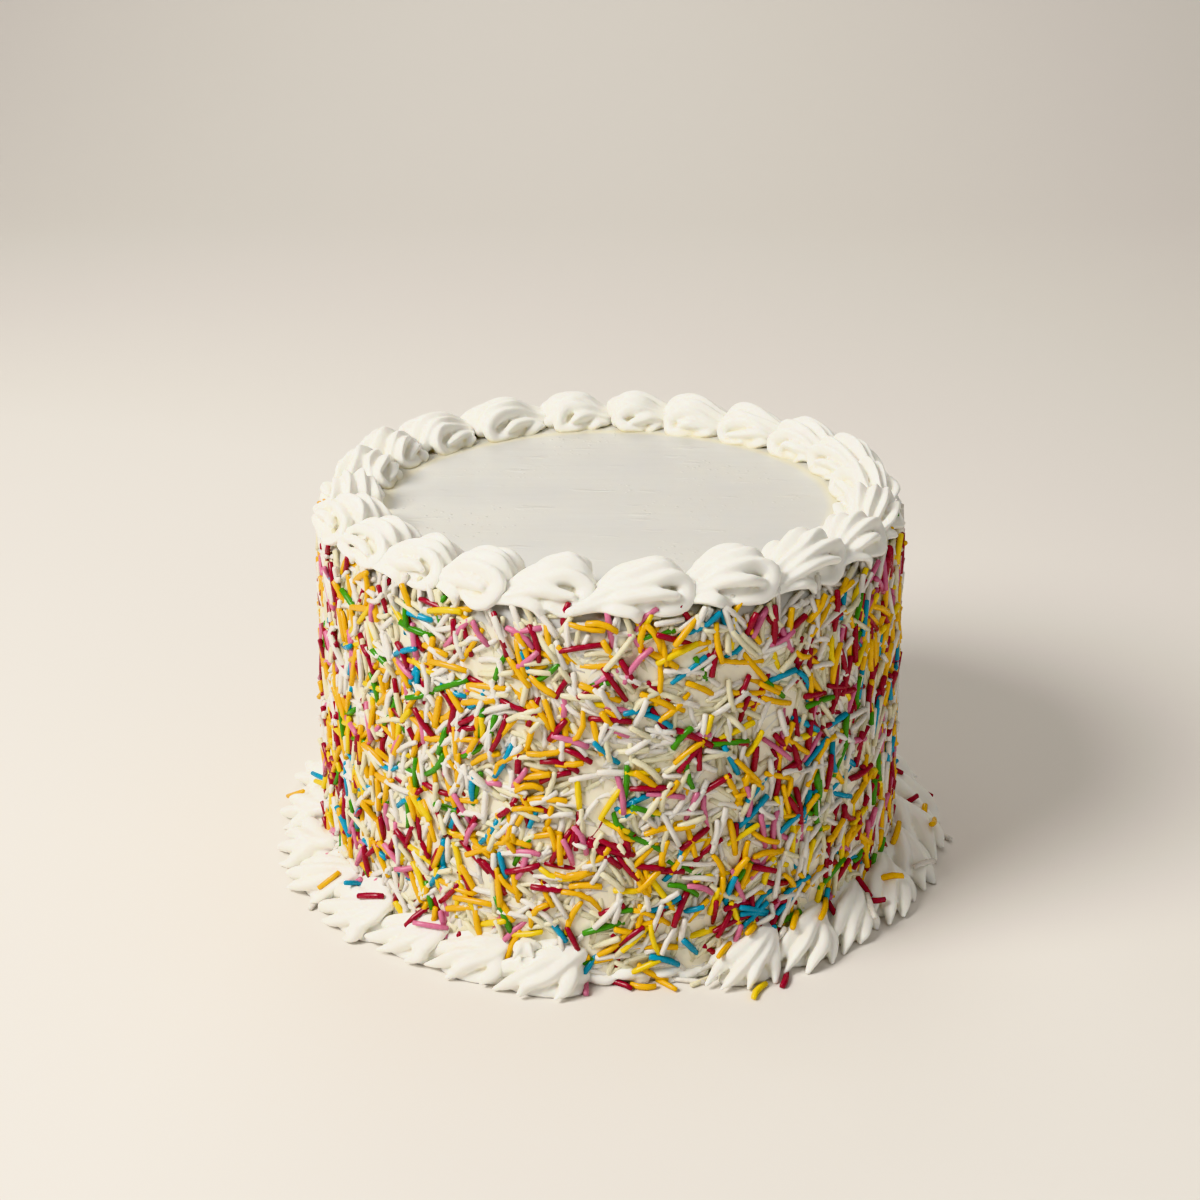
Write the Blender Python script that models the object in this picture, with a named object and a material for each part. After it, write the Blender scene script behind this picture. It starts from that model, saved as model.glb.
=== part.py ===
"""A round birthday cake: cream-coated, with sprinkles all round its side and piped cream shells.

Metres, +Z up. The origin is the centre of the cake's foot, and the front of the cake faces -Y.
The cake itself is one solid with its sprinkles fused on. Each piped shell is a solid of its own.
"""
import math
import random

import bmesh
import bpy
import numpy as np

# Cream-coated cake
CAKE_HEIGHT = 0.0964
FOOT_RADIUS = 0.0768
SHOULDER_RADIUS = 0.0738
EDGE_ROUND = 0.0055
CAKE_SIDES = 48
EDGE_STEPS = 3

# Sprinkles fused to the side, evenly spread by the golden angle
SPRINKLES = 165
SPRINKLE_RADIUS = 0.00072
SPRINKLE_LENGTHS = (0.0055, 0.0088)
SPRINKLE_BEND = 0.0006
SPRINKLE_SIDES = 5
SPRINKLE_BAND = (0.0190, CAKE_HEIGHT - 0.0115)
SPRINKLE_STANDS_PROUD = 0.00035
GOLDEN_ANGLE = math.pi * (3 - math.sqrt(5))

# Every shell keeps half a seam from each neighbour, and a small gap from the cake
HALF_SEAM = 0.0002
CAKE_GAP = 0.0005

# Top border: where one shell's tail meets the next one's head, as azimuths in degrees
TOP_SEAMS = (-153.5, -137.5, -123.5, -109, -94, -75.5, -59, -41, -26, -8, 9,
             26, 42, 59.5, 74.5, 89, 106, 126, 144, 158, 174, 190)
# Bottom border: it starts and ends at the gap at the front, and its pitch drifts on the way round
BOTTOM_START = -69.8
BOTTOM_SHELLS = 27
BOTTOM_FIRST_PITCH = 11.6
BOTTOM_LAST_PITCH = 13.3

# A shell seen along its hinge: how far it reaches at each angle from its head (0), over its
# crest (90) to its tail (180). The values are for a shell of the standard pitch.
TOP_REACH = ((-180, 0.0062), (-150, 0.0056), (-120, 0.0052), (-90, 0.0054), (-60, 0.0086),
             (-30, 0.0132), (-10, 0.0156), (10, 0.0160), (25, 0.0150), (40, 0.0130), (50, 0.0114),
             (60, 0.0102), (75, 0.0090), (90, 0.0082), (120, 0.0076), (150, 0.0070))
BOTTOM_REACH = ((-180, 0.0064), (-120, 0.0056), (-90, 0.0058), (-60, 0.0068), (-35, 0.0092),
                (-14, 0.0134), (-3, 0.0172), (8, 0.0174), (20, 0.0152), (35, 0.0126), (60, 0.0100),
                (90, 0.0086), (120, 0.0078), (150, 0.0072))
STANDARD_PITCH = 0.0185

# Lean is the tilt of a shell's crest from straight outward. The front of the bottom border is
# narrower and more upright than the rest, which gets all of "lean_more" and "radius_more".
# Sweep is how far the inner and the outer end of the hinge lie ahead of its middle.
TOP_SHELL = {
    "reach": TOP_REACH,
    "rows": (-60, -25, 5, 28, 50, 80, 120, 165, 215, 265),
    "half_width": 0.0098,
    "pivot_radius": 0.0666,
    "radius_more": 0,
    "pivot_height": CAKE_HEIGHT + 0.0018,
    "lean": math.radians(74),
    "lean_more": 0,
    "head": 1,
    "yaw": math.radians(5),
    "dip": math.radians(-4),
    "sweep": (0.0055, 0.0020),
    "ridges": 5,
    "flute": 0.17,
    "dimple": 0.22,
    "pivot_share": 0.23,
}
BOTTOM_SHELL = {
    "reach": BOTTOM_REACH,
    "rows": (-35, 0, 22, 48, 80, 120, 165, 210, 255, 295),
    "half_width": 0.0096,
    "pivot_radius": 0.0790,
    "radius_more": 0.0050,
    "pivot_height": 0.0069,
    "lean": math.radians(40),
    "lean_more": math.radians(20),
    "head": -1,
    "yaw": math.radians(-17),
    "dip": math.radians(20),
    "sweep": (0.0050, 0.0050),
    "ridges": 4,
    "flute": 0.27,
    "dimple": 0.10,
    "pivot_share": 0.15,
}
# The side of a shell is fuller than an ellipse, and its tail is pinched in
FULLNESS = 0.50
TAIL_TAPER = 0.12
RAY_STEPS = 90

# Looks
CREAM_COLOUR = (0.87, 0.83, 0.74)
SHELL_COLOUR = (0.90, 0.87, 0.80)


def clear_scene():
    for thing in list(bpy.data.objects):
        bpy.data.objects.remove(thing, do_unlink=True)


def plain_material(name, colour, roughness):
    material = bpy.data.materials.new(name)
    material.use_nodes = True
    shader = material.node_tree.nodes["Principled BSDF"]
    shader.inputs["Base Color"].default_value = (*colour, 1)
    shader.inputs["Roughness"].default_value = roughness
    shader.inputs["Metallic"].default_value = 0
    return material


def add_object(name, bm, material=None):
    bmesh.ops.recalc_face_normals(bm, faces=bm.faces)
    mesh = bpy.data.meshes.new(name)
    bm.to_mesh(mesh)
    bm.free()
    thing = bpy.data.objects.new(name, mesh)
    bpy.context.scene.collection.objects.link(thing)
    if material:
        mesh.materials.append(material)
    return thing


def side_radius(height):
    """The cream's radius at a height: a slight taper, then the rounded top edge."""
    taper = FOOT_RADIUS + (SHOULDER_RADIUS - FOOT_RADIUS) * height / CAKE_HEIGHT
    into_round = np.clip(height - (CAKE_HEIGHT - EDGE_ROUND), 0, EDGE_ROUND)
    return taper - EDGE_ROUND + np.sqrt(EDGE_ROUND ** 2 - into_round ** 2)


def cake_core():
    """The cake's profile turned about Z, closed at the foot and over the top."""
    profile = [(0, 0), (float(side_radius(0)), 0)]
    for step in range(EDGE_STEPS + 1):
        angle = math.pi / 2 * step / EDGE_STEPS
        height = CAKE_HEIGHT - EDGE_ROUND * (1 - math.sin(angle))
        profile.append((float(side_radius(height)), height))
    profile.append((0, CAKE_HEIGHT))
    bm = bmesh.new()
    points = [bm.verts.new((radius, 0, height)) for radius, height in profile]
    edges = [bm.edges.new(pair) for pair in zip(points, points[1:])]
    bmesh.ops.spin(bm, geom=points + edges, cent=(0, 0, 0), axis=(0, 0, 1),
                   angle=2 * math.pi, steps=CAKE_SIDES, use_merge=True)
    bmesh.ops.remove_doubles(bm, verts=bm.verts, dist=1e-5)
    return add_object("cake", bm)


def sprinkle(index, rng, collection):
    """One bent rod, half sunk in the cream of the side."""
    azimuth = index * GOLDEN_ANGLE
    low, high = SPRINKLE_BAND
    height = low + (high - low) * (index + 0.5) / SPRINKLES
    azimuth += rng.uniform(-0.05, 0.05)
    tilt = rng.uniform(0, math.pi)
    length = rng.uniform(*SPRINKLE_LENGTHS)
    bend = rng.uniform(-1, 1) * SPRINKLE_BEND
    # Near the band's ends a sprinkle lies flatter, so that it stays inside the band
    room = min(height - low, high - height) + SPRINKLE_RADIUS
    if abs(math.sin(tilt)) * length / 2 > room:
        tilt = math.asin(room / (length / 2))
    outward = np.array((math.cos(azimuth), math.sin(azimuth), 0))
    around = np.array((-math.sin(azimuth), math.cos(azimuth), 0))
    upward = np.array((0, 0, 1))
    along = around * math.cos(tilt) + upward * math.sin(tilt)
    across = np.cross(outward, along)
    middle = outward * (float(side_radius(height)) + SPRINKLE_STANDS_PROUD) + upward * height
    bm = bmesh.new()
    rings = []
    for share in (-0.5, 0, 0.5):
        centre = middle + along * length * share + across * bend * (0 if share else 1)
        sag = length ** 2 * share ** 2 * math.cos(tilt) ** 2 / (2 * FOOT_RADIUS)
        centre = centre - outward * sag
        ring = []
        for side in range(SPRINKLE_SIDES):
            turn = 2 * math.pi * side / SPRINKLE_SIDES
            offset = outward * math.cos(turn) + across * math.sin(turn)
            ring.append(bm.verts.new(centre + offset * SPRINKLE_RADIUS))
        rings.append(ring)
    for first, second in zip(rings, rings[1:]):
        for side in range(SPRINKLE_SIDES):
            after = (side + 1) % SPRINKLE_SIDES
            bm.faces.new((first[side], first[after], second[after], second[side]))
    bm.faces.new(rings[0])
    bm.faces.new(rings[-1])
    rod = add_object(f"sprinkle_{index:03d}", bm)
    bpy.context.scene.collection.objects.unlink(rod)
    collection.objects.link(rod)


def fuse_sprinkles(core):
    """One union of the cake and all its sprinkles, applied, with the loose rods then removed."""
    rng = random.Random(11)
    rods = bpy.data.collections.new("sprinkles")
    bpy.context.scene.collection.children.link(rods)
    for index in range(SPRINKLES):
        sprinkle(index, rng, rods)
    union = core.modifiers.new("fuse", "BOOLEAN")
    union.operation = "UNION"
    union.operand_type = "COLLECTION"
    union.collection = rods
    union.solver = "EXACT"
    bpy.context.view_layer.update()
    evaluated = core.evaluated_get(bpy.context.evaluated_depsgraph_get())
    fused = bpy.data.meshes.new_from_object(evaluated)
    core.modifiers.clear()
    core.data = fused
    for rod in list(rods.objects):
        bpy.data.objects.remove(rod, do_unlink=True)
    bpy.data.collections.remove(rods)


def make_cake():
    core = cake_core()
    fuse_sprinkles(core)
    core.data.materials.clear()
    core.data.materials.append(plain_material("cake_cream", CREAM_COLOUR, 0.5))


def shell_axes(azimuth, form, uneven):
    """The pivot, and the three axes of a shell: along the hinge, out of its crest, to its head."""
    round_side = min(1, 1 + math.sin(azimuth))
    outward = np.array((math.cos(azimuth), math.sin(azimuth), 0))
    around = np.array((-math.sin(azimuth), math.cos(azimuth), 0)) * form["head"]
    upward = np.array((0, 0, 1))
    lean = form["lean"] + form["lean_more"] * round_side + uneven["lean"]
    crest = outward * math.cos(lean) + upward * math.sin(lean)
    hinge = outward * math.sin(lean) - upward * math.cos(lean)
    dip = form["dip"]
    ahead = around * math.cos(dip) - crest * math.sin(dip)
    crest = crest * math.cos(dip) + around * math.sin(dip)
    yaw = form["yaw"] + uneven["yaw"]
    head = ahead * math.cos(yaw) - hinge * math.sin(yaw)
    hinge = hinge * math.cos(yaw) + ahead * math.sin(yaw)
    radius = form["pivot_radius"] + form["radius_more"] * round_side + uneven["outward"]
    pivot = outward * radius + upward * form["pivot_height"]
    return pivot, hinge, crest, head


def first_touch(pivot, arm):
    """How much of each arm, from the pivot out, stays clear of the cake and of the ground."""
    shares = np.arange(1, RAY_STEPS + 1) / RAY_STEPS
    points = pivot + arm[:, None, :] * shares[None, :, None]
    radius = np.hypot(points[..., 0], points[..., 1])
    height = points[..., 2]
    below_top = height < CAKE_HEIGHT + CAKE_GAP
    inside_wall = radius < side_radius(np.clip(height - CAKE_GAP, 0, CAKE_HEIGHT)) + CAKE_GAP
    blocked = (below_top & inside_wall) | (height < 0)
    first = np.where(blocked.any(axis=1), blocked.argmax(axis=1), RAY_STEPS)
    share = first / RAY_STEPS
    # The ground is a plane, so an arm that ends there is cut exactly at it
    to_ground = np.where(arm[:, 2] < 0, pivot[2] / np.maximum(-arm[:, 2], 1e-9), 1)
    near_ground = (to_ground < share + 1 / RAY_STEPS) & (to_ground < 1)
    return np.where(near_ground, to_ground, share)


def within_seams(pivot, arm, seams):
    """How much of each arm stays between the two upright seams, which pass through the Z axis."""
    share = np.ones(len(arm))
    for azimuth, sign in zip(seams, (-1, 1)):
        normal = sign * np.array((-math.sin(azimuth), math.cos(azimuth), 0))
        room = -HALF_SEAM - normal @ pivot
        towards = arm @ normal
        share = np.where(towards > 1e-9, np.minimum(share, room / np.maximum(towards, 1e-9)), share)
    return share


def shell_mesh(form, seams, uneven):
    """A piped shell: rows turn about its hinge from head to tail, and columns are its flutes."""
    start, end = seams
    share = form["pivot_share"] if form["head"] > 0 else 1 - form["pivot_share"]
    azimuth = start + (end - start) * share
    pivot, hinge, crest, head = shell_axes(azimuth, form, uneven)
    stretch = (end - start) * form["pivot_radius"] / STANDARD_PITCH
    turns, reaches = zip(*form["reach"])
    columns = 2 * form["ridges"]
    bm = bmesh.new()
    grid = []
    for column in range(columns + 1):
        across = math.pi * (column / columns - 0.5)
        pole = column in (0, columns)
        flute = 1 if column % 2 else 1 - (form["dimple"] if pole else form["flute"])
        arms = []
        for angle in form["rows"][:1] if pole else form["rows"]:
            turn = math.radians(angle)
            reach = np.interp(angle, turns, reaches, period=360)
            tail = max(0, -math.cos(turn))
            width = form["half_width"] * (1 - TAIL_TAPER * tail * math.cos(across) ** 2)
            fore = head * math.cos(turn) * stretch + crest * math.sin(turn)
            reach *= max(0, math.cos(across)) ** FULLNESS
            swept = head * stretch * form["sweep"][across > 0] * math.sin(across) ** 2
            ridged = 1 - (1 - flute) * (1 + 0.5 * math.cos(turn))
            arms.append(ridged * (hinge * width * math.sin(across) + swept + fore * reach))
        arms = np.array(arms) * uneven["size"]
        keep = np.minimum(first_touch(pivot, arms), within_seams(pivot, arms, seams))
        points = pivot + arms * keep[:, None]
        grid.append([bm.verts.new(point) for point in points])
    rows = len(form["rows"])
    for left, right in zip(grid, grid[1:]):
        for row in range(rows):
            after = (row + 1) % rows
            if len(left) == 1:
                bm.faces.new((left[0], right[row], right[after]))
            elif len(right) == 1:
                bm.faces.new((left[row], right[0], left[after]))
            else:
                bm.faces.new((left[row], right[row], right[after], left[after]))
    return bm


def hand_piped(rng):
    """How far one shell strays from the standard one."""
    return {
        "size": rng.uniform(0.95, 1.04),
        "lean": math.radians(rng.uniform(-6, 6)),
        "yaw": math.radians(rng.uniform(-6, 6)),
        "outward": rng.uniform(-0.0007, 0.0007),
    }


def top_seams():
    """Each top shell's tail and head azimuths, in radians."""
    for start, end in zip(TOP_SEAMS, TOP_SEAMS[1:] + (TOP_SEAMS[0] + 360,)):
        yield math.radians(start), math.radians(end)


def bottom_seams():
    """Each bottom shell's two azimuths, in radians, counterclockwise from the front gap."""
    azimuth = BOTTOM_START
    for index in range(BOTTOM_SHELLS):
        drift = index / (BOTTOM_SHELLS - 1)
        pitch = BOTTOM_FIRST_PITCH + (BOTTOM_LAST_PITCH - BOTTOM_FIRST_PITCH) * drift
        yield math.radians(azimuth), math.radians(azimuth + pitch)
        azimuth += pitch


def make_border(name, form, all_seams, rng):
    for number, seams in enumerate(all_seams, start=1):
        label = f"{name}_{number:02d}"
        bm = shell_mesh(form, seams, hand_piped(rng))
        add_object(label, bm, plain_material(label, SHELL_COLOUR, 0.45))


def main():
    clear_scene()
    make_cake()
    make_border("top_shell", TOP_SHELL, top_seams(), random.Random(21))
    make_border("bottom_shell", BOTTOM_SHELL, bottom_seams(), random.Random(34))


main()
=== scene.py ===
"""The looks of the birthday cake: its cream, its piped shells and its coat of sprinkles."""
import math
import random

import bpy
import numpy as np
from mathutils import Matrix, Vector
from mathutils.bvhtree import BVHTree


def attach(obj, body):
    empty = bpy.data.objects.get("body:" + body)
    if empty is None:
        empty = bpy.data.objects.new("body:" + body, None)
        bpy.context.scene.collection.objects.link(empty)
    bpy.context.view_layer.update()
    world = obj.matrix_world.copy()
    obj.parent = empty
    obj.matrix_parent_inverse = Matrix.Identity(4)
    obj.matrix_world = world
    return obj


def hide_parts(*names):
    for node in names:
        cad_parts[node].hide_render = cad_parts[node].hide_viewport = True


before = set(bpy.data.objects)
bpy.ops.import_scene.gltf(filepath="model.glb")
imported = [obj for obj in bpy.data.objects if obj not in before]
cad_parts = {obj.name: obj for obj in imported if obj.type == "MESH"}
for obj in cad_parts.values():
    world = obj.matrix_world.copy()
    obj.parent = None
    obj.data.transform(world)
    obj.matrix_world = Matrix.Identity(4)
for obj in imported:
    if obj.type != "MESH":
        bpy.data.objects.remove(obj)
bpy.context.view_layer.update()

# The cake's own sizes, in metres, as in the part
CAKE_HEIGHT = 0.0964
FOOT_RADIUS = 0.0768
SHOULDER_RADIUS = 0.0738
EDGE_ROUND = 0.0055
TOP_SEAMS = (-153.5, -137.5, -123.5, -109, -94, -75.5, -59, -41, -26, -8, 9,
             26, 42, 59.5, 74.5, 89, 106, 126, 144, 158, 174, 190)
BOTTOM_START = -69.8
BOTTOM_SHELLS = 27
BOTTOM_FIRST_PITCH = 11.6
BOTTOM_LAST_PITCH = 13.3

# A shell is a bundle of ridges, which all start at its narrow tail. Each ridge is the points it passes
# through, in millimetres: how far along to the head, outward and up from the shell's foot, and how thick it
# is there. Narrow and keener set how sharp the crests are. Stretch_out lengthens the ridges away from the
# cake's front, and sweep carries their outer ends on towards the head. Cores are the ellipsoids inside.
# At the top, the ridges arch over and curl down round the head, which is at the far end anticlockwise
TOP_SHELL = {
    "radius": 0.0668, "height": CAKE_HEIGHT, "head": 1, "pitch": 0.0185, "stretch_out": 0.0, "sweep": 0.0,
    "yaw": math.radians(4), "narrow": 0.84, "keener": 0.24, "tail": (-13.0, 5.6, 0.3, 1.2),
    "ridges": (
        ((-6.5, 0.2, 3.8, 1.7), (0.0, -1.4, 6.6, 2.5), (5.5, -1.7, 6.5, 2.8), (8.2, -1.7, 2.4, 2.8)),
        ((-6.5, 2.2, 4.2, 1.7), (0.0, 1.6, 7.0, 2.5), (5.5, 1.6, 6.9, 2.9), (8.4, 2.0, 3.0, 2.8)),
        ((-6.8, 3.8, 3.4, 1.5), (-0.5, 4.1, 6.0, 2.1), (5.0, 4.4, 6.2, 2.4), (8.2, 5.4, 4.2, 2.3),
         (6.8, 6.8, 0.8, 2.3), (3.4, 7.4, -0.4, 2.1), (0.6, 7.3, 0.1, 1.2)),
        ((-7.5, 5.4, 2.2, 1.2), (-2.5, 6.7, 3.8, 1.9), (2.0, 7.1, 4.1, 1.9), (5.0, 7.5, 3.4, 1.3)),
        ((-8.5, 6.0, 0.6, 1.1), (-5.2, 7.0, 1.0, 1.7), (-2.6, 7.6, 0.2, 1.7), (-1.6, 7.4, -1.8, 1.0)),
        ((-6.5, -1.6, 3.2, 1.5), (-0.5, -3.4, 5.6, 2.1), (5.0, -4.0, 5.6, 2.4), (8.2, -5.0, 3.4, 2.2),
         (6.8, -6.2, 0.8, 2.0), (3.4, -6.9, 0.4, 1.7), (0.8, -7.0, 0.4, 1.1)),
        ((-7.0, -2.4, 2.0, 1.3), (-2.5, -5.4, 3.4, 1.9), (1.6, -6.5, 3.4, 1.8), (4.2, -6.9, 2.6, 1.2)),
        ((-7.5, -2.8, 0.6, 1.2), (-4.5, -5.9, 1.2, 1.6), (-2.2, -6.9, 0.2, 1.4)),
    ),
    "cores": (((1.0, 0.4, 1.0), (7.2, 6.0, 5.0)), ((2.4, -4.4, 0.4), (5.4, 3.2, 2.6)),
              ((1.6, 4.4, 0.2), (6.2, 3.2, 2.6))),
}
# At the foot they fan out from a high tail against the side to low pointed tips, with the head clockwise
BOTTOM_SHELL = {
    "radius": FOOT_RADIUS, "height": 0.0, "head": -1, "pitch": 0.0168, "stretch_out": 0.7, "sweep": 0.35,
    "yaw": 0.0, "narrow": 0.80, "keener": 0.0, "tail": (-6.4, 0.4, 8.2, 2.2),
    "ridges": (
        ((-1.5, -0.6, 9.0, 2.4), (3.0, -0.4, 7.6, 2.7), (7.0, 0.4, 5.0, 2.3), (9.8, 1.2, 2.8, 1.2)),
        ((-2.0, 2.0, 8.4, 2.3), (2.8, 3.0, 6.8, 2.6), (7.2, 4.6, 4.0, 2.2), (10.8, 6.0, 1.4, 0.8)),
        ((-3.2, 3.4, 7.4, 2.2), (0.4, 5.4, 5.6, 2.5), (4.0, 7.2, 3.0, 2.1), (7.0, 8.8, 1.0, 0.8)),
        ((-5.0, 3.8, 6.6, 2.1), (-3.2, 6.2, 4.6, 2.3), (-0.8, 8.0, 2.6, 2.0), (1.0, 9.6, 0.9, 0.8)),
        ((-6.8, 3.4, 6.0, 1.9), (-7.0, 5.6, 4.0, 2.1), (-6.6, 7.2, 2.2, 1.7), (-6.2, 8.6, 0.8, 0.7)),
    ),
    "cores": (((-0.5, 1.0, 2.8), (8.6, 5.0, 5.2)), ((-0.5, 3.8, 0.4), (8.8, 4.0, 2.9))),
}
# The part's own seeds, so that each shell strays as its solid does
TOP_SEED = 21
BOTTOM_SEED = 34
# The skin round a shell's ridges: its voxels, the share of its triangles that stay, and the creases' depth
SHELL_VOXEL = 0.00043
SHELL_SHARE_KEPT = 0.5
CREASE_FULL = 0.00045
CREASE_ROUNDS = 8
# What lies lower than this would touch the ground
LEAST_HEIGHT = 0.0002

# Sprinkles
SPRINKLE_RADIUS = 0.00078
SPRINKLE_LENGTH = (0.0066, 0.0108)
SPRINKLE_SIDES = 6
UNDER_LAYER = 3500
UPPER_LAYER = 3700
# Each kind: its share of the upper layer, and its colour as sRGB values out of 255
KINDS = {
    "white": (0.25, (228, 223, 214)),
    "ivory": (0.14, (224, 217, 186)),
    "yellow": (0.23, (236, 180, 6)),
    "lemon": (0.06, (240, 206, 24)),
    "crimson": (0.15, (150, 14, 44)),
    "pink": (0.06, (208, 118, 150)),
    "turquoise": (0.055, (16, 146, 180)),
    "green": (0.055, (64, 140, 28)),
}

# Camera: where the photograph was taken from, and its lens
CAMERA_DISTANCE = 0.4313
CAMERA_HEIGHT = 0.2490
CAMERA_PITCH = 22.79
CAMERA_PAN = 0.34
FOCAL_PIXELS = 1751
PHOTO_PIXELS = 1200
SENSOR_MM = 36


def linear(colour):
    """sRGB values out of 255, as the linear colour that a shader takes."""
    shares = [value / 255 for value in colour]
    return tuple(s / 12.92 if s <= 0.04045 else ((s + 0.055) / 1.055) ** 2.4 for s in shares)


def mesh_object(name, points, faces):
    mesh = bpy.data.meshes.new(name)
    mesh.from_pydata([tuple(p) for p in points], [], [tuple(int(i) for i in f) for f in faces])
    mesh.update()
    mesh.shade_smooth()
    piece = bpy.data.objects.new(name, mesh)
    bpy.context.scene.collection.objects.link(piece)
    return piece


def point_attribute(piece, name, values):
    """A number for each vertex, which the material reads."""
    attribute = piece.data.attributes.new(name, "FLOAT", "POINT")
    attribute.data.foreach_set("value", np.asarray(values, dtype=np.float32).ravel())


def waves(points, size, seed, terms=7):
    """Smooth noise between about -1 and 1, as a sum of waves in random directions."""
    rng = np.random.default_rng(seed)
    total = np.zeros(points.shape[:-1])
    for _ in range(terms):
        direction = rng.normal(size=3)
        direction /= np.linalg.norm(direction)
        length = size * rng.uniform(0.7, 1.6)
        total += np.sin(points @ direction * 2 * np.pi / length + rng.uniform(0, 2 * np.pi))
    return total / math.sqrt(terms)


# Materials

class Nodes:
    """A short way to write a node tree."""

    def __init__(self, name):
        self.material = bpy.data.materials.new(name)
        self.material.use_nodes = True
        self.tree = self.material.node_tree
        self.shader = self.tree.nodes["Principled BSDF"]

    def add(self, kind, **values):
        node = self.tree.nodes.new(kind)
        for key, value in values.items():
            if hasattr(node, key):
                setattr(node, key, value)
            else:
                node.inputs[key].default_value = value
        return node

    def link(self, source, target):
        self.tree.links.new(source, target)

    def mix(self, factor, first, second):
        node = self.add("ShaderNodeMix", data_type="RGBA")
        self.link(factor, node.inputs["Factor"])
        for value, socket in ((first, node.inputs[6]), (second, node.inputs[7])):
            if isinstance(value, tuple):
                socket.default_value = (*value, 1)
            else:
                self.link(value, socket)
        return node.outputs[2]

    def math(self, operation, first, second):
        node = self.add("ShaderNodeMath", operation=operation)
        for index, value in enumerate((first, second)):
            if isinstance(value, (int, float)):
                node.inputs[index].default_value = value
            else:
                self.link(value, node.inputs[index])
        return node.outputs[0]

    def range(self, value, low, high, to_low, to_high):
        node = self.add("ShaderNodeMapRange")
        self.link(value, node.inputs["Value"])
        node.inputs["From Min"].default_value = low
        node.inputs["From Max"].default_value = high
        node.inputs["To Min"].default_value = to_low
        node.inputs["To Max"].default_value = to_high
        return node.outputs["Result"]

    def noise(self, scale, detail, stretch=None):
        node = self.add("ShaderNodeTexNoise")
        node.inputs["Scale"].default_value = scale
        node.inputs["Detail"].default_value = detail
        vector = self.add("ShaderNodeTexCoord").outputs["Object"]
        if stretch:
            mapping = self.add("ShaderNodeMapping")
            mapping.inputs["Scale"].default_value = stretch
            self.link(vector, mapping.inputs["Vector"])
            vector = mapping.outputs["Vector"]
        self.link(vector, node.inputs["Vector"])
        return node.outputs["Fac"]

    def attribute(self, name):
        node = self.add("ShaderNodeAttribute", attribute_name=name)
        return node.outputs["Fac"]

    def bump(self, height, strength, distance, normal=None):
        node = self.add("ShaderNodeBump")
        node.inputs["Strength"].default_value = strength
        node.inputs["Distance"].default_value = distance
        self.link(height, node.inputs["Height"])
        if normal:
            self.link(normal, node.inputs["Normal"])
        return node.outputs["Normal"]


CREAM = linear((246, 244, 236))
# Painted shade: the yellow that the cream is painted deep in its creases and along the shells' inner foot
CREAM_YELLOW_SHADE = linear((246, 231, 174))
# Painted shade: the coat's top is painted a darker grey than the piped cream
CREAM_TOP_SHADE = linear((199, 198, 193))
CREAM_TOP_SHADE_WARM = linear((204, 202, 194))
CREAM_SIDE = linear((242, 235, 216))
SUBSURFACE_RADIUS = (1.0, 0.72, 0.42)


def soft_cream(shader, weight, scale):
    shader.inputs["Subsurface Weight"].default_value = weight
    shader.inputs["Subsurface Radius"].default_value = SUBSURFACE_RADIUS
    shader.inputs["Subsurface Scale"].default_value = scale


def piped_cream():
    """Piped cream: ivory white, with a yellow painted shade down in the creases and along the inner foot, and
    a fine grain.
    """
    n = Nodes("piped_cream")
    # Painted shade: where the crease attribute is high, the cream is painted yellow
    crease = n.attribute("crease")
    cloud = n.noise(160, 3)
    depth = n.math("MULTIPLY", n.range(crease, 0.25, 1.0, 0.0, 0.8), n.range(cloud, 0.3, 0.7, 0.6, 1.1))
    colour = n.mix(depth, CREAM, CREAM_YELLOW_SHADE)
    n.link(colour, n.shader.inputs["Base Color"])
    n.link(n.range(cloud, 0.3, 0.7, 0.38, 0.5), n.shader.inputs["Roughness"])
    grain = n.noise(1300, 3)
    n.link(n.bump(grain, 0.12, 0.00015), n.shader.inputs["Normal"])
    soft_cream(n.shader, 0.18, 0.002)
    n.shader.inputs["Specular IOR Level"].default_value = 0.4
    return n.material


def coat_cream():
    """The smoothed coat: its top in a grey painted shade, darker than the piping, with yellow painted shade
    in a ring at the shells' inner foot, a warmer cream on the side, and the palette knife's long faint
    streaks.
    """
    n = Nodes("coat_cream")
    cloud = n.noise(30, 4)
    # Painted shade: the top gets the darker grey, the side its own warmer cream
    colour = n.mix(n.range(cloud, 0.35, 0.65, 0, 1), CREAM_TOP_SHADE, CREAM_TOP_SHADE_WARM)
    colour = n.mix(n.attribute("side"), colour, CREAM_SIDE)
    # Painted shade: yellow in a ring at the shells' inner foot, and a little over the side
    colour = n.mix(n.attribute("crease"), colour, CREAM_YELLOW_SHADE)
    n.link(colour, n.shader.inputs["Base Color"])
    streak = n.noise(1.0, 4, (45, 420, 10))
    n.link(n.range(streak, 0.3, 0.7, 0.33, 0.46), n.shader.inputs["Roughness"])
    broad = n.noise(1.0, 3, (14, 90, 10))
    ripple = n.range(n.noise(1.0, 4, (70, 240, 10)), 0.62, 0.72, 0.0, 1.0)
    bubbles = n.add("ShaderNodeTexVoronoi", feature="F1")
    bubbles.inputs["Scale"].default_value = 420
    n.link(n.add("ShaderNodeTexCoord").outputs["Object"], bubbles.inputs["Vector"])
    speck = n.range(bubbles.outputs["Distance"], 0.10, 0.22, 1.0, 0.0)
    first = n.bump(streak, 0.10, 0.0003)
    second = n.bump(broad, 0.20, 0.0008, first)
    third = n.bump(ripple, 0.45, 0.0003, second)
    n.link(n.bump(n.math("MULTIPLY", speck, n.range(cloud, 0.5, 0.6, 0.0, 1.0)), 0.5, 0.0003, third),
           n.shader.inputs["Normal"])
    soft_cream(n.shader, 0.20, 0.003)
    n.shader.inputs["Specular IOR Level"].default_value = 0.45
    return n.material


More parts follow.
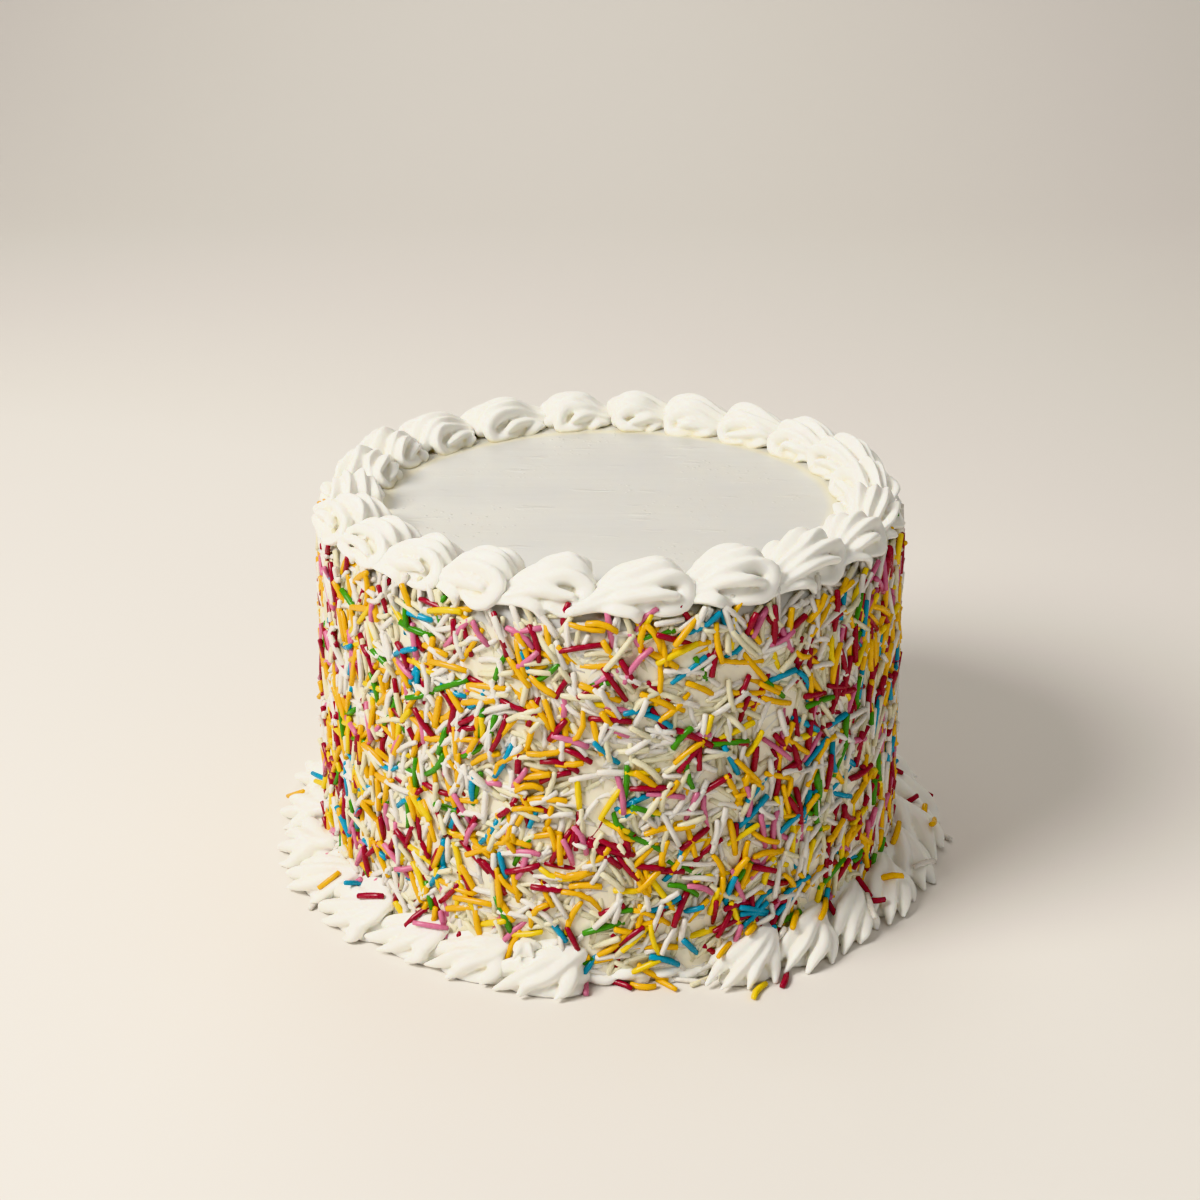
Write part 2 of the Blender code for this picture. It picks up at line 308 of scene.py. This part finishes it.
def sprinkle_sugar(kind, colour):
    """A sugar rod: its colour varies from rod to rod and along each one, with a dull gloss."""
    n = Nodes(f"sprinkle_{kind}")
    tint = n.attribute("tint")
    base = linear(colour)
    pale = tuple(min(1.0, c * 1.12 + 0.012) for c in base)
    dark = tuple(c * 0.74 for c in base)
    mottle = n.noise(900, 2)
    mixed = n.mix(tint, dark, pale)
    n.link(n.mix(n.range(mottle, 0.35, 0.7, 0.0, 0.5), base, mixed), n.shader.inputs["Base Color"])
    n.link(n.range(mottle, 0.3, 0.7, 0.20, 0.38), n.shader.inputs["Roughness"])
    n.link(n.bump(n.noise(1800, 2), 0.16, 0.00012), n.shader.inputs["Normal"])
    n.shader.inputs["Specular IOR Level"].default_value = 0.5
    if kind in ("white", "ivory"):
        soft_cream(n.shader, 0.15, 0.001)
    return n.material


# Piped shells

def seams_of(kind):
    if kind == "top":
        for start, end in zip(TOP_SEAMS, TOP_SEAMS[1:] + (TOP_SEAMS[0] + 360,)):
            yield math.radians(start), math.radians(end)
        return
    azimuth = BOTTOM_START
    for index in range(BOTTOM_SHELLS):
        drift = index / (BOTTOM_SHELLS - 1)
        pitch = BOTTOM_FIRST_PITCH + (BOTTOM_LAST_PITCH - BOTTOM_FIRST_PITCH) * drift
        yield math.radians(azimuth), math.radians(azimuth + pitch)
        azimuth += pitch


def hand_piped(rng):
    """How far one shell strays from the standard one. The draws are the part's own."""
    return {
        "size": rng.uniform(0.95, 1.04),
        "lean": math.radians(rng.uniform(-6, 6)),
        "yaw": math.radians(rng.uniform(-6, 6)),
        "outward": rng.uniform(-0.0007, 0.0007),
    }


def grid_faces(columns, rows):
    """Quads between neighbouring columns, closed round the rows."""
    faces = []
    for column in range(columns - 1):
        for row in range(rows):
            after = (row + 1) % rows
            left, right = column * rows, (column + 1) * rows
            faces.append((left + row, right + row, right + after, left + after))
    return faces


def ridge_tube(stops, core, narrow, steps=26, sides=14):
    """A ridge's tube through its stops, which are rows of place and thickness, with round ends.

    Its crest points away from the core. Where narrow is below 1, the ridge is that much narrower than it is
    high, with a keener crest.
    """
    stops = np.array(stops)
    before = 2 * stops[0] - stops[1]
    after = 2 * stops[-1] - stops[-2]
    knots = np.vstack((before, stops, after))
    share = np.linspace(0, len(stops) - 1, steps)
    index = np.minimum(share.astype(int), len(stops) - 2)
    t = (share - index)[:, None]
    a, b, c, d = (knots[index + shift] for shift in range(4))
    square = 2 * a - 5 * b + 4 * c - d
    cube = 3 * b - a - 3 * c + d
    line = 0.5 * (2 * b + (c - a) * t + square * t ** 2 + cube * t ** 3)
    centre = line[:, :3]
    thick = line[:, 3]
    along = np.gradient(centre, axis=0)
    along /= np.linalg.norm(along, axis=1)[:, None]
    rounds = np.radians((75, 50, 25))
    centre = np.vstack([centre[0] - along[0] * thick[0] * math.sin(r) for r in rounds]
                       + [centre] + [centre[-1] + along[-1] * thick[-1] * math.sin(r) for r in rounds[::-1]])
    thick = np.concatenate((thick[0] * np.cos(rounds), thick, thick[-1] * np.cos(rounds[::-1])))
    along = np.vstack((along[:1], along[:1], along[:1], along, along[-1:], along[-1:], along[-1:]))
    side = np.cross(along, centre - np.array(core))
    side /= np.linalg.norm(side, axis=1)[:, None]
    up = np.cross(side, along)
    turns = np.linspace(0, 2 * np.pi, sides, endpoint=False)
    sideways = np.cos(turns) * narrow * np.abs(np.cos(turns)) ** (2 * (1 - narrow))
    ring = side[:, None] * sideways[None, :, None] + up[:, None] * np.sin(turns)[None, :, None]
    points = centre[:, None] + ring * thick[:, None, None]
    rows = len(points)
    faces = [face[::-1] for face in grid_faces(rows, sides)]
    faces.append(tuple(range(sides)))
    faces.append(tuple((rows - 1) * sides + step for step in range(sides))[::-1])
    return points.reshape(-1, 3), faces


def ball(centre, half_sizes, rings=14, sides=20):
    """A closed ellipsoid."""
    rise = np.linspace(-np.pi / 2, np.pi / 2, rings + 2)[1:-1, None]
    turns = np.linspace(0, 2 * np.pi, sides, endpoint=False)[None, :]
    unit = np.stack((np.cos(rise) * np.cos(turns), np.cos(rise) * np.sin(turns), np.sin(rise) + 0 * turns),
                    axis=-1)
    points = (np.array(centre) + unit * np.array(half_sizes)).reshape(-1, 3)
    faces = [face[::-1] for face in grid_faces(rings, sides)]
    faces.append(tuple(range(sides)))
    faces.append(tuple((rings - 1) * sides + step for step in range(sides))[::-1])
    return points, faces


def melt_together(label, parts):
    """One skin round many overlapping closed meshes, with its creases a little softened."""
    points = np.vstack([p for p, _ in parts])
    faces = []
    first = 0
    for part_points, part_faces in parts:
        faces += [tuple(i + first for i in face) for face in part_faces]
        first += len(part_points)
    raw = mesh_object(label, points, faces)
    remesh = raw.modifiers.new("skin", "REMESH")
    remesh.mode = "VOXEL"
    remesh.voxel_size = SHELL_VOXEL
    soften = raw.modifiers.new("soften", "SMOOTH")
    soften.factor = 0.5
    soften.iterations = 1
    thin = raw.modifiers.new("thin", "DECIMATE")
    thin.ratio = SHELL_SHARE_KEPT
    bpy.context.view_layer.update()
    skin = bpy.data.meshes.new_from_object(raw.evaluated_get(bpy.context.evaluated_depsgraph_get()))
    bpy.data.objects.remove(raw)
    skin.name = label
    skin.shade_smooth()
    piece = bpy.data.objects.new(label, skin)
    bpy.context.scene.collection.objects.link(piece)
    return piece


def crease_depth(piece):
    """How deep each vertex lies in a crease, from 0 to 1 at full depth, against a smoothed skin."""
    mesh = piece.data
    points = np.empty(len(mesh.vertices) * 3)
    mesh.vertices.foreach_get("co", points)
    points = points.reshape(-1, 3)
    normals = np.empty(len(mesh.vertices) * 3)
    mesh.vertices.foreach_get("normal", normals)
    edges = np.empty(len(mesh.edges) * 2, dtype=int)
    mesh.edges.foreach_get("vertices", edges)
    first, second = edges.reshape(-1, 2).T
    count = np.bincount(edges, minlength=len(points))[:, None]
    smoothed = points.copy()
    for _ in range(CREASE_ROUNDS):
        total = np.zeros_like(smoothed)
        np.add.at(total, first, smoothed[second])
        np.add.at(total, second, smoothed[first])
        smoothed = total / count
    depth = ((smoothed - points) * normals.reshape(-1, 3)).sum(axis=1)
    return points, np.clip(depth / CREASE_FULL, 0, 1)


def set_round_cake(points, form, seams, uneven):
    """A shell's own points, in millimetres, bent round the cake between its seams."""
    start, end = seams
    middle = (start + end) / 2
    along, outward, up = (points * (0.001 * uneven["size"])).T
    along = along * (end - start) * form["radius"] / form["pitch"]
    along = along + np.maximum(outward, 0) * form["sweep"]
    turn = form["yaw"] + uneven["yaw"]
    along, outward = (along * math.cos(turn) + outward * math.sin(turn),
                      outward * math.cos(turn) - along * math.sin(turn))
    tilt = uneven["lean"] * 0.6
    outward, up = (outward * math.cos(tilt) - up * math.sin(tilt),
                   up * math.cos(tilt) + outward * math.sin(tilt))
    side = min(1.0, 1.0 + math.sin(middle))
    radius = form["radius"] + outward * (1 + form["stretch_out"] * side) + uneven["outward"]
    azimuth = middle + form["head"] * along / form["radius"]
    return np.stack((radius * np.cos(azimuth), radius * np.sin(azimuth), form["height"] + up), axis=1)


def make_shell(label, form, seams, uneven, seed):
    rng = np.random.default_rng(seed)
    # The ridges at the left and right of the cake are keener than those at its front and back
    narrow = form["narrow"] - form["keener"] * math.cos(sum(seams) / 2) ** 2
    parts = [ball(*core) for core in form["cores"]]
    for ridge in form["ridges"]:
        stops = np.array((form["tail"],) + ridge)
        stray = rng.normal(0, 0.36, stops.shape) * (1, 0.8, 0.8, 0.3)
        stray[0] *= 0.3
        parts.append(ridge_tube(stops + stray, form["cores"][0][0], narrow))
    placed = []
    for points, faces in parts:
        points = points * (1 + 0.03 * waves(points + seed, 12, seed)[:, None])
        placed.append((set_round_cake(points, form, seams, uneven), faces))
    return melt_together(label, placed)


def make_border(kind, form, seed, material):
    rng = random.Random(seed)
    border = []
    for number, seams in enumerate(seams_of(kind), start=1):
        piece = make_shell(f"{kind}_piping_{number:02d}", form, seams, hand_piped(rng), number + seed * 50)
        points, crease = crease_depth(piece)
        # Painted shade: the cream is painted yellow deep in its creases and along its foot on the inner side
        foot = np.clip(1 - (points[:, 2] - form["height"]) / 0.002, 0, 1)
        inner = np.hypot(points[:, 0], points[:, 1]) < form["radius"]
        point_attribute(piece, "crease", np.clip(crease * 0.6 + foot * inner * 0.8, 0, 1))
        if form["height"] == 0.0:
            points[:, 2] = np.maximum(points[:, 2], LEAST_HEIGHT)
            piece.data.vertices.foreach_set("co", points.ravel())
            piece.data.update()
        piece.data.materials.append(material)
        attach(piece, "root")
        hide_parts(f"{kind}_shell_{number:02d}")
        border.append(piece)
    return border


# The coat

def side_radius(height):
    taper = FOOT_RADIUS + (SHOULDER_RADIUS - FOOT_RADIUS) * height / CAKE_HEIGHT
    into_round = np.clip(height - (CAKE_HEIGHT - EDGE_ROUND), 0, EDGE_ROUND)
    return taper - EDGE_ROUND + np.sqrt(EDGE_ROUND ** 2 - into_round ** 2)


def make_coat(material):
    """The cake's cream coat as a fine turned surface, uneven under the sprinkles."""
    around = 400
    heights = np.linspace(0, CAKE_HEIGHT - EDGE_ROUND, 48)
    turns = np.linspace(0, np.pi / 2, 9)[1:]
    profile = [(float(side_radius(z)), z) for z in heights]
    profile += [(float(side_radius(CAKE_HEIGHT - EDGE_ROUND * (1 - math.sin(t)))),
                 CAKE_HEIGHT - EDGE_ROUND * (1 - math.sin(t))) for t in turns]
    top_radius = profile[-1][0]
    profile += [(r, CAKE_HEIGHT) for r in np.linspace(top_radius, 0.0006, 28)[1:]]
    radii = np.array([r for r, _ in profile])[:, None]
    zs = np.array([z for _, z in profile])[:, None]
    angle = np.linspace(0, 2 * np.pi, around, endpoint=False)[None, :]
    points = np.stack((radii * np.cos(angle), radii * np.sin(angle), zs * np.ones_like(angle)), axis=-1)
    lumps = 0.00048 + waves(points, 0.018, 5) * 0.00030 + waves(points, 0.005, 6) * 0.00022
    on_side = (zs < CAKE_HEIGHT - EDGE_ROUND) & (zs > 0.0005)
    outward = np.stack((np.cos(angle), np.sin(angle), np.zeros_like(angle)), axis=-1)
    points = points + outward * (lumps * on_side)[..., None]
    flat = (zs >= CAKE_HEIGHT) * 1.0
    points[..., 2] += flat * (waves(points * (0.35, 1, 1), 0.030, 8) * 0.00012)
    rings = len(profile)
    faces = []
    for ring in range(rings - 1):
        for step in range(around):
            after = (step + 1) % around
            low, high = ring * around, (ring + 1) * around
            faces.append((low + step, low + after, high + after, high + step))
    faces.append(tuple((rings - 1) * around + step for step in range(around)))
    faces.append(tuple(step for step in range(around))[::-1])
    coat = mesh_object("cream_coat", points.reshape(-1, 3), faces)
    radius = np.hypot(points[..., 0], points[..., 1])
    # Painted shade: a yellow ring on the top where the top shells' inner foot stands; the side also gets a
    # little of the same yellow
    crease = 0.35 * np.exp(-((radius - 0.0587) / 0.0014) ** 2) * flat + 0.12 * on_side
    point_attribute(coat, "crease", crease)
    point_attribute(coat, "side", on_side * np.ones_like(radius))
    coat.data.materials.append(material)
    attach(coat, "root")
    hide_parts("cake")


# Sprinkles

def rods(name, centres, alongs, outs, lengths, bends, tints, material):
    """Many bent rods as one mesh. Each has rounded ends and follows its own curve."""
    stations = np.array((-0.49, -0.17, 0.17, 0.49))
    widths = np.array((0.88, 1.0, 1.0, 0.88))
    count = len(centres)
    acrosses = np.cross(outs, alongs)
    curve = (0.25 - stations ** 2)
    spine = (centres[:, None] + alongs[:, None] * (stations[None, :, None] * lengths[:, None, None])
             + acrosses[:, None] * (curve[None, :, None] * bends[:, None, None]))
    turns = 2 * np.pi * np.arange(SPRINKLE_SIDES) / SPRINKLE_SIDES
    ring = (outs[:, None] * np.cos(turns)[None, :, None] + acrosses[:, None] * np.sin(turns)[None, :, None])
    rng = np.random.default_rng(len(name) + count)
    thick = SPRINKLE_RADIUS * rng.uniform(0.88, 1.1, count)
    body = (spine[:, :, None] + ring[:, None] * (widths[None, :, None, None] * thick[:, None, None, None]))
    body = body.reshape(count, -1, 3)
    tip = 0.32 * SPRINKLE_RADIUS
    start = spine[:, 0] - alongs * tip
    end = spine[:, -1] + alongs * tip
    points = np.concatenate((body, start[:, None], end[:, None]), axis=1)
    points[..., 2] = np.maximum(points[..., 2], 0.0001)
    per_rod = points.shape[1]
    faces = []
    last = len(stations) - 1
    for station in range(last):
        for side in range(SPRINKLE_SIDES):
            after = (side + 1) % SPRINKLE_SIDES
            low, high = station * SPRINKLE_SIDES, (station + 1) * SPRINKLE_SIDES
            faces.append((low + side, low + after, high + after, high + side))
    quads = np.array(faces)
    caps = []
    for side in range(SPRINKLE_SIDES):
        after = (side + 1) % SPRINKLE_SIDES
        caps.append((per_rod - 2, after, side))
        caps.append((per_rod - 1, last * SPRINKLE_SIDES + side, last * SPRINKLE_SIDES + after))
    caps = np.array(caps)
    offsets = (np.arange(count) * per_rod)[:, None, None]
    all_quads = (quads[None] + offsets).reshape(-1, 4)
    all_caps = (caps[None] + offsets).reshape(-1, 3)
    mesh = bpy.data.meshes.new(name)
    corner_total = all_quads.size + all_caps.size
    mesh.vertices.add(count * per_rod)
    mesh.vertices.foreach_set("co", points.reshape(-1))
    mesh.loops.add(corner_total)
    mesh.loops.foreach_set("vertex_index", np.concatenate((all_quads.ravel(), all_caps.ravel())))
    mesh.polygons.add(len(all_quads) + len(all_caps))
    sizes = np.concatenate((np.full(len(all_quads), 4), np.full(len(all_caps), 3)))
    mesh.polygons.foreach_set("loop_start", np.concatenate(([0], np.cumsum(sizes)[:-1])))
    mesh.update(calc_edges=True)
    mesh.validate()
    mesh.shade_smooth()
    piece = bpy.data.objects.new(name, mesh)
    bpy.context.scene.collection.objects.link(piece)
    point_attribute(piece, "tint", np.repeat(tints, per_rod))
    piece.data.materials.append(material)
    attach(piece, "root")
    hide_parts("cake")


def pick_kinds(points, rng):
    """A kind for each sprinkle: the shares in KINDS, but each kind drifts into loose clusters."""
    names = list(KINDS)
    weights = []
    for index, name in enumerate(names):
        share = KINDS[name][0]
        weights.append(share * np.exp(0.22 * waves(points, 0.020, 100 + index)))
    weights = np.array(weights)
    steps = np.cumsum(weights / weights.sum(axis=0), axis=0)
    draw = rng.uniform(size=len(points))
    return (draw[None] > steps).sum(axis=0)


def side_sprinkles():
    """Centres, directions and kinds of the sprinkles all round the side."""
    rng = np.random.default_rng(7)
    total = UNDER_LAYER + UPPER_LAYER
    azimuth = rng.uniform(0, 2 * np.pi, total)
    height = rng.uniform(0.0012, CAKE_HEIGHT - 0.002, total)
    upper = np.arange(total) >= UNDER_LAYER
    lengths = rng.uniform(*SPRINKLE_LENGTH, total)
    outward = np.stack((np.cos(azimuth), np.sin(azimuth), np.zeros(total)), axis=1)
    around = np.stack((-np.sin(azimuth), np.cos(azimuth), np.zeros(total)), axis=1)
    upward = np.tile((0, 0, 1.0), (total, 1))
    surface = outward * side_radius(height)[:, None] + upward * height[:, None]
    lie = waves(surface, 0.03, 40) * 1.6 + rng.normal(0, 0.75, total)
    # On the left and right of the cake, more of the rods stand upright
    upright = np.clip(np.abs(np.cos(azimuth)) - 0.2, 0, 1) * 0.75
    lie = np.where(rng.uniform(size=total) < upright, math.pi / 2 + rng.normal(0, 0.3, total), lie)
    # Near the foot a rod lies along it, clear of the ground
    clear = np.clip((height - 0.0008) / (lengths / 2), 0, 1)
    lie = np.where(clear < 1, np.arcsin(np.clip(np.sin(lie), -clear, clear)), lie)
    along = around * np.cos(lie)[:, None] + upward * np.sin(lie)[:, None]
    # The upper layer lies across the lower one, and a few rods stand off it
    lift = np.where(upper, rng.uniform(0.0007, 0.0017, total), rng.uniform(0.0000, 0.0006, total))
    tilt = np.where(upper, rng.normal(0, 0.10, total), rng.normal(0, 0.04, total))
    stand_off = upper & (rng.uniform(size=total) < 0.05)
    tilt = np.where(stand_off, rng.uniform(-0.6, 0.6, total), tilt)
    # A long rod across the curve touches it at its middle, so it sinks by half its sagitta
    sagitta = (lengths * np.cos(lie)) ** 2 / (8 * FOOT_RADIUS)
    centres = surface + outward * (lift - sagitta * 0.5)[:, None]
    out = outward * np.cos(tilt)[:, None] - along * np.sin(tilt)[:, None]
    along = along * np.cos(tilt)[:, None] + outward * np.sin(tilt)[:, None]
    bends = rng.normal(0, 0.0036, total) * rng.uniform(0, 1, total)
    kinds = pick_kinds(surface, rng)
    names = list(KINDS)
    pale = rng.choice([names.index("white"), names.index("ivory")], total, p=(0.45, 0.55))
    kinds = np.where(upper, kinds, np.where(rng.uniform(size=total) < 0.80, pale, kinds))
    tints = rng.uniform(0, 1, total)
    return centres, along, out, lengths, bends, tints, kinds


# Sprinkles that fell on the border at the foot: where round the cake, in degrees, how far out, and their kind
FALLEN = (
    (-149, 0.0839, "yellow"), (-143, 0.0800, "turquoise"), (-145, 0.0790, "pink"), (-137, 0.0814, "crimson"),
    (-126, 0.0790, "crimson"), (-123, 0.0800, "pink"), (175, 0.0900, "yellow"), (-94, 0.0800, "pink"),
    (-64, 0.0790, "yellow"), (-69, 0.0800, "yellow"), (-55, 0.0800, "yellow"), (-49, 0.0803, "yellow"),
    (-36, 0.0795, "crimson"), (-45, 0.0790, "crimson"), (-31, 0.0839, "yellow"), (-17, 0.0804, "yellow"),
    (-8, 0.0890, "yellow"), (-3, 0.0873, "yellow"), (6, 0.0890, "crimson"), (1, 0.0830, "crimson"),
    (-4, 0.0920, "white"), (-21, 0.0890, "white"), (-61, 0.0875, "crimson"), (-66, 0.0888, "lemon"),
    (-58, 0.0795, "white"), (-39, 0.0845, "white"), (-36, 0.0830, "crimson"), (-84, 0.0795, "yellow"),
    (-80, 0.0800, "yellow"), (-76, 0.0795, "white"), (-73, 0.0800, "ivory"), (-88, 0.0790, "crimson"),
)
FALLEN_ELSEWHERE = 34


def fallen_sprinkles(pieces):
    """Sprinkles on the border at the foot, or on the ground beside it, tilted as what is under them."""
    points = []
    faces = []
    for piece in pieces:
        first = len(points)
        points += [vertex.co.copy() for vertex in piece.data.vertices]
        faces += [tuple(first + i for i in face.vertices) for face in piece.data.polygons]
    below = BVHTree.FromPolygons(points, faces)
    rng = np.random.default_rng(17)
    names = list(KINDS)
    spots = list(FALLEN)
    for _ in range(FALLEN_ELSEWHERE):
        spots.append((rng.uniform(8, 210), rng.uniform(0.079, 0.089), names[rng.integers(len(names))]))
    rows = []
    for azimuth, radius, kind in spots:
        turn = math.radians(azimuth)
        x, y = radius * math.cos(turn), radius * math.sin(turn)
        place, normal, _, _ = below.ray_cast(Vector((x, y, 0.03)), Vector((0, 0, -1)))
        if place is None or place.z < 0:
            place, normal = Vector((x, y, 0.0)), Vector((0, 0, 1))
        spin = rng.uniform(0, math.pi)
        along = Vector((math.cos(spin), math.sin(spin), 0))
        along = (along - normal * along.dot(normal)).normalized()
        centre = place + normal * SPRINKLE_RADIUS * 0.8
        rows.append((centre, along, normal, rng.uniform(*SPRINKLE_LENGTH) * 0.9, rng.normal(0, 0.0015),
                     rng.uniform(), names.index(kind)))
    return [np.array([tuple(row[i]) if i < 3 else row[i] for row in rows]) for i in range(7)]


# Stage

def make_backdrop():
    """A plain pale floor that sweeps up into a wall far behind the cake."""
    half_width = 8.0
    front = -9.0
    back = 0.9
    bend = 0.7
    profile = [(front, 0.0), (back, 0.0)]
    for step in range(1, 17):
        turn = math.pi / 2 * step / 16
        profile.append((back + bend * math.sin(turn), bend * (1 - math.cos(turn))))
    profile.append((back + bend, 3.0))
    points = [(x, y, z - 0.0001) for y, z in profile for x in (-half_width, half_width)]
    faces = [(2 * i, 2 * i + 1, 2 * i + 3, 2 * i + 2) for i in range(len(profile) - 1)]
    backdrop = mesh_object("backdrop", points, faces)
    n = Nodes("backdrop_paper")
    n.shader.inputs["Base Color"].default_value = (*linear((232, 227, 220)), 1)
    n.shader.inputs["Roughness"].default_value = 0.85
    backdrop.data.materials.append(n.material)


def area_light(name, place, target, size, power, colour):
    lamp = bpy.data.lights.new(name, "AREA")
    lamp.shape = "DISK"
    lamp.size = size
    lamp.energy = power
    lamp.color = colour
    thing = bpy.data.objects.new(name, lamp)
    thing.location = place
    thing.rotation_euler = (Vector(target) - Vector(place)).to_track_quat("-Z", "Y").to_euler()
    bpy.context.scene.collection.objects.link(thing)


def make_lights():
    middle = (0, 0, 0.05)
    area_light("key", (-0.645, -0.375, 0.735), middle, 0.50, 10.9, (1.0, 0.98, 0.95))
    area_light("fill", (0.7, -0.8, 0.45), middle, 0.8, 1.6, (0.95, 0.97, 1.0))
    area_light("back", (-0.1, 1.2, 1.1), middle, 0.7, 3.0, (1.0, 0.99, 0.97))
    area_light("wall_wash", (0.0, 0.5, 1.6), (0, 1.6, 0.2), 1.4, 7.0, (1.0, 0.98, 0.95))
    area_light("floor_wash", (0.0, -1.8, 1.6), (0, -3.6, 0), 1.4, 25.0, (1.0, 0.98, 0.95))
    world = bpy.data.worlds.new("studio")
    world.use_nodes = True
    world.node_tree.nodes["Background"].inputs["Color"].default_value = (*linear((236, 230, 222)), 1)
    world.node_tree.nodes["Background"].inputs["Strength"].default_value = 0.25
    bpy.context.scene.world = world


def make_camera():
    lens = bpy.data.cameras.new("camera")
    lens.sensor_width = SENSOR_MM
    lens.lens = FOCAL_PIXELS / PHOTO_PIXELS * SENSOR_MM
    lens.clip_start = 0.01
    camera = bpy.data.objects.new("camera", lens)
    camera.location = (0, -CAMERA_DISTANCE, CAMERA_HEIGHT)
    camera.rotation_euler = (math.radians(90 - CAMERA_PITCH), 0, math.radians(CAMERA_PAN))
    bpy.context.scene.collection.objects.link(camera)
    bpy.context.scene.camera = camera


def make_sprinkles(materials, foot_border):
    columns = [np.concatenate(pair) for pair in zip(side_sprinkles(), fallen_sprinkles(foot_border))]
    kinds = columns.pop()
    for index, kind in enumerate(KINDS):
        rods(f"sprinkles_{kind}", *(column[kinds == index] for column in columns), materials[kind])


def make_dab(material):
    """The small dab of cream on the border, left of the gap in it, and the cream smeared in the gap."""
    rng = np.random.default_rng(5)
    turn = math.radians(-104.5)
    middle = np.array((math.cos(turn), math.sin(turn), 0)) * 0.0795 + (0, 0, 0.0095)
    parts = [ball(middle, (0.0026, 0.0024, 0.0020))]
    for spoke in range(6):
        angle = 2 * math.pi * (spoke + rng.uniform(-0.2, 0.2)) / 6
        reach = np.array((math.cos(angle), math.sin(angle), 0.0)) * rng.uniform(0.0026, 0.0038)
        stops = [(*(middle + reach * share + (0, 0, lift)), thick) for share, lift, thick in
                 ((0.1, 0.0014, 0.0011), (0.6, 0.0010, 0.0012), (1.0, -0.0004, 0.0007))]
        parts.append(ridge_tube(stops, middle - (0, 0, 0.004), 0.8, 8, 10))
    for azimuth in np.arange(-101, -71, 1.2):
        turn = math.radians(azimuth + rng.uniform(-1.4, 1.4))
        place = np.array((math.cos(turn), math.sin(turn), 0)) * (0.0768 + rng.uniform(-0.0004, 0.0012))
        size = rng.uniform(0.0008, 0.0021)
        flatness = rng.uniform(0.5, 1.1)
        parts.append(ball(place + (0, 0, rng.uniform(0.0, 0.0028)), (size * 1.8, size, size * flatness)))
    dab = melt_together("cream_dabs", parts)
    points, crease = crease_depth(dab)
    points[:, 2] = np.maximum(points[:, 2], LEAST_HEIGHT)
    dab.data.vertices.foreach_set("co", points.ravel())
    # Painted shade: the dab's creases are painted yellow by the piped cream
    point_attribute(dab, "crease", crease)
    dab.data.materials.append(material)
    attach(dab, "root")
    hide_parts("cake")
    return dab


make_camera()
make_lights()
make_backdrop()
bpy.context.scene.view_settings.view_transform = "Khronos PBR Neutral"
cream = piped_cream()
make_coat(coat_cream())
make_border("top", TOP_SHELL, TOP_SEED, cream)
foot_border = make_border("bottom", BOTTOM_SHELL, BOTTOM_SEED, cream)
dab = make_dab(cream)
sugars = {kind: sprinkle_sugar(kind, colour) for kind, (_, colour) in KINDS.items()}
make_sprinkles(sugars, foot_border + [dab])
